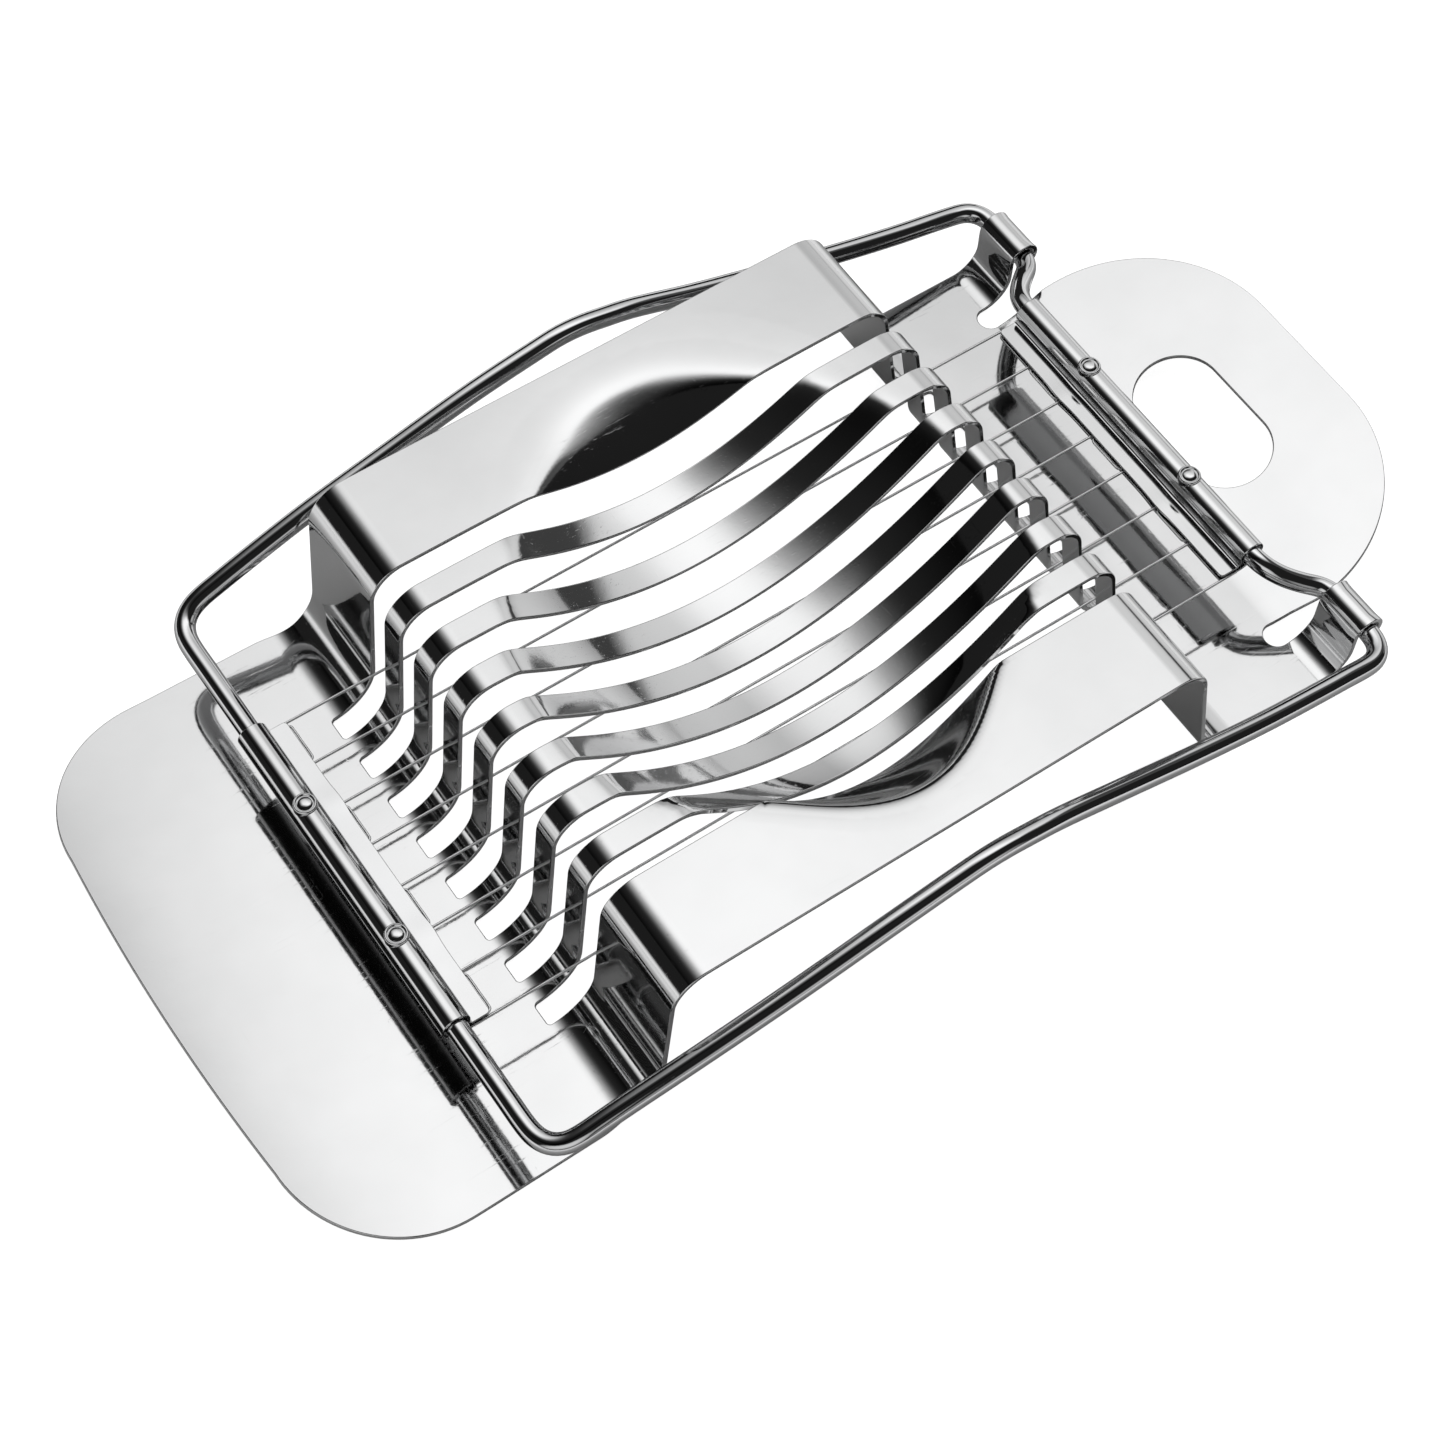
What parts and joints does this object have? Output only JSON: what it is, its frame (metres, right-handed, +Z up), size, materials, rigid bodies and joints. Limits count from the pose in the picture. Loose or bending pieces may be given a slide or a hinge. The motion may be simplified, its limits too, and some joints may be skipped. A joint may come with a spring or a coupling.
{
  "type": "egg slicer",
  "caption": "Pressed-steel egg slicer with an oval slotted cradle, a hinged frame of cutting wires, a thumb tab and a hang-hole tab.",
  "frame": {"origin": "centre of the whole length and width, on the surface the base stands on", "axes": "+X along the cutting wires from the thumb tab to the hinge, +Y across them to the pointed end of the cradle, +Z up"},
  "size_m": [0.1554, 0.0822, 0.0231],
  "materials": {
    "polished_sheet": "mirror-polished stainless steel sheet",
    "polished_rod": "mirror-polished stainless steel rod",
    "clamp_sheet": "polished folded stainless steel strip",
    "rivet_steel": "polished steel rivet",
    "wire_steel": "drawn stainless steel wire"
  },
  "bodies": {
    "base": {"base_plate": "polished_sheet"},
    "frame": {"wire_bow": "polished_rod", "handle_clamp": "clamp_sheet", "hinge_clamp": "clamp_sheet", "rivet_handle_far": "rivet_steel", "rivet_handle_near": "rivet_steel", "rivet_hinge_far": "rivet_steel", "rivet_hinge_near": "rivet_steel", "cutting_wire_1": "wire_steel", "cutting_wire_2": "wire_steel", "cutting_wire_3": "wire_steel", "cutting_wire_4": "wire_steel", "cutting_wire_5": "wire_steel", "cutting_wire_6": "wire_steel", "cutting_wire_7": "wire_steel", "cutting_wire_8": "wire_steel", "wire_turn_handle_1_2": "wire_steel", "wire_turn_handle_3_4": "wire_steel", "wire_turn_handle_5_6": "wire_steel", "wire_turn_handle_7_8": "wire_steel", "wire_turn_hinge_2_3": "wire_steel", "wire_turn_hinge_4_5": "wire_steel", "wire_turn_hinge_6_7": "wire_steel"}
  },
  "joints": [
    {"name": "frame_hinge", "type": "hinge", "parent": "base", "child": "frame", "pos_m": [0.05735, 0, 0.0066], "axis": [0, 1, 0], "range_deg": [0, 145]}
  ]
}
